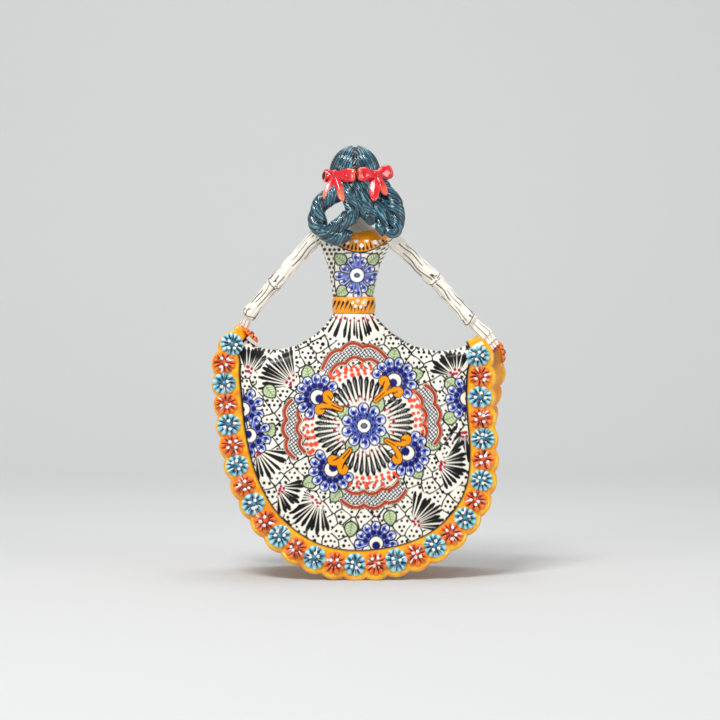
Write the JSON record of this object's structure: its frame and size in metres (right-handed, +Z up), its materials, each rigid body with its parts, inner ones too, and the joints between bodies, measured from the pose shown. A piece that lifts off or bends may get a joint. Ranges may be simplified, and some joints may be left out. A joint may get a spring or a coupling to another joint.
{
  "type": "ceramic catrina dancer figure",
  "caption": "Glazed earthenware skeleton lady dancer holding out a wide painted skirt with a scalloped flowered hem; free-standing decorative figure.",
  "frame": {"origin": "on the standing surface, under the middle of the overall box", "axes": "+Z up, +Y the way the figure faces (the painted back of the skirt looks along -Y), +X to the right as seen from behind"},
  "size_m": [0.276, 0.1298, 0.4],
  "materials": {
    "flower_teal_glaze": "gloss glaze with dark strokes and raised white slip dots",
    "flower_orange_glaze": "gloss glaze with brown-black strokes and raised white slip dots",
    "ruffle_yellow_glaze": "gloss glaze",
    "skirt_painted_glaze": "gloss clear glaze over a cream ground painted in cobalt, green, orange, terracotta, crimson and black",
    "band_orange_glaze": "gloss glaze",
    "bodice_painted_glaze": "gloss clear glaze over a cream ground painted in cobalt, green, orange and black",
    "hair_teal_glaze": "gloss glaze",
    "bow_red_glaze": "gloss glaze",
    "bone_cream_glaze": "gloss glaze"
  },
  "bodies": {
    "root": {"back_flower_01_teal": "flower_teal_glaze", "back_flower_02_orange": "flower_orange_glaze", "back_flower_03_teal": "flower_teal_glaze", "back_flower_04_orange": "flower_orange_glaze", "back_flower_05_teal": "flower_teal_glaze", "back_flower_06_orange": "flower_orange_glaze", "back_flower_07_teal": "flower_teal_glaze", "back_flower_08_orange": "flower_orange_glaze", "back_flower_09_teal": "flower_teal_glaze", "back_flower_10_orange": "flower_orange_glaze", "back_flower_11_teal": "flower_teal_glaze", "back_flower_12_orange": "flower_orange_glaze", "back_flower_13_teal": "flower_teal_glaze", "back_flower_14_orange": "flower_orange_glaze", "back_flower_15_teal": "flower_teal_glaze", "back_flower_16_orange": "flower_orange_glaze", "back_flower_17_teal": "flower_teal_glaze", "back_flower_18_orange": "flower_orange_glaze", "back_flower_19_teal": "flower_teal_glaze", "back_flower_20_orange": "flower_orange_glaze", "back_flower_21_teal": "flower_teal_glaze", "back_flower_22_orange": "flower_orange_glaze", "back_flower_23_teal": "flower_teal_glaze", "back_flower_24_orange": "flower_orange_glaze", "back_flower_25_teal": "flower_teal_glaze", "back_flower_26_orange": "flower_orange_glaze", "back_flower_27_teal": "flower_teal_glaze", "back_flower_28_orange": "flower_orange_glaze", "back_flower_29_teal": "flower_teal_glaze", "bodice": "bodice_painted_glaze", "braid_left": "hair_teal_glaze", "braid_right": "hair_teal_glaze", "corner_flower_left": "flower_orange_glaze", "corner_flower_right": "flower_orange_glaze", "front_flowers_orange": "flower_orange_glaze", "front_flowers_teal": "flower_teal_glaze", "hair_cap": "hair_teal_glaze", "hem_ruffle_back": "ruffle_yellow_glaze", "hem_ruffle_front": "ruffle_yellow_glaze", "left_bow_knot": "bow_red_glaze", "left_bow_loops": "bow_red_glaze", "left_bow_tails": "bow_red_glaze", "left_forearm": "bone_cream_glaze", "left_hand": "bone_cream_glaze", "left_upper_arm": "bone_cream_glaze", "lock_centre": "hair_teal_glaze", "lock_left": "hair_teal_glaze", "lock_right": "hair_teal_glaze", "neck_and_shoulders": "bone_cream_glaze", "right_bow_knot": "bow_red_glaze", "right_bow_loops": "bow_red_glaze", "right_bow_tails": "bow_red_glaze", "right_forearm": "bone_cream_glaze", "right_hand": "bone_cream_glaze", "right_upper_arm": "bone_cream_glaze", "skirt_back_shell": "skirt_painted_glaze", "skirt_front_shell": "skirt_painted_glaze", "skull": "bone_cream_glaze", "waist_band": "band_orange_glaze"}
  },
  "joints": []
}
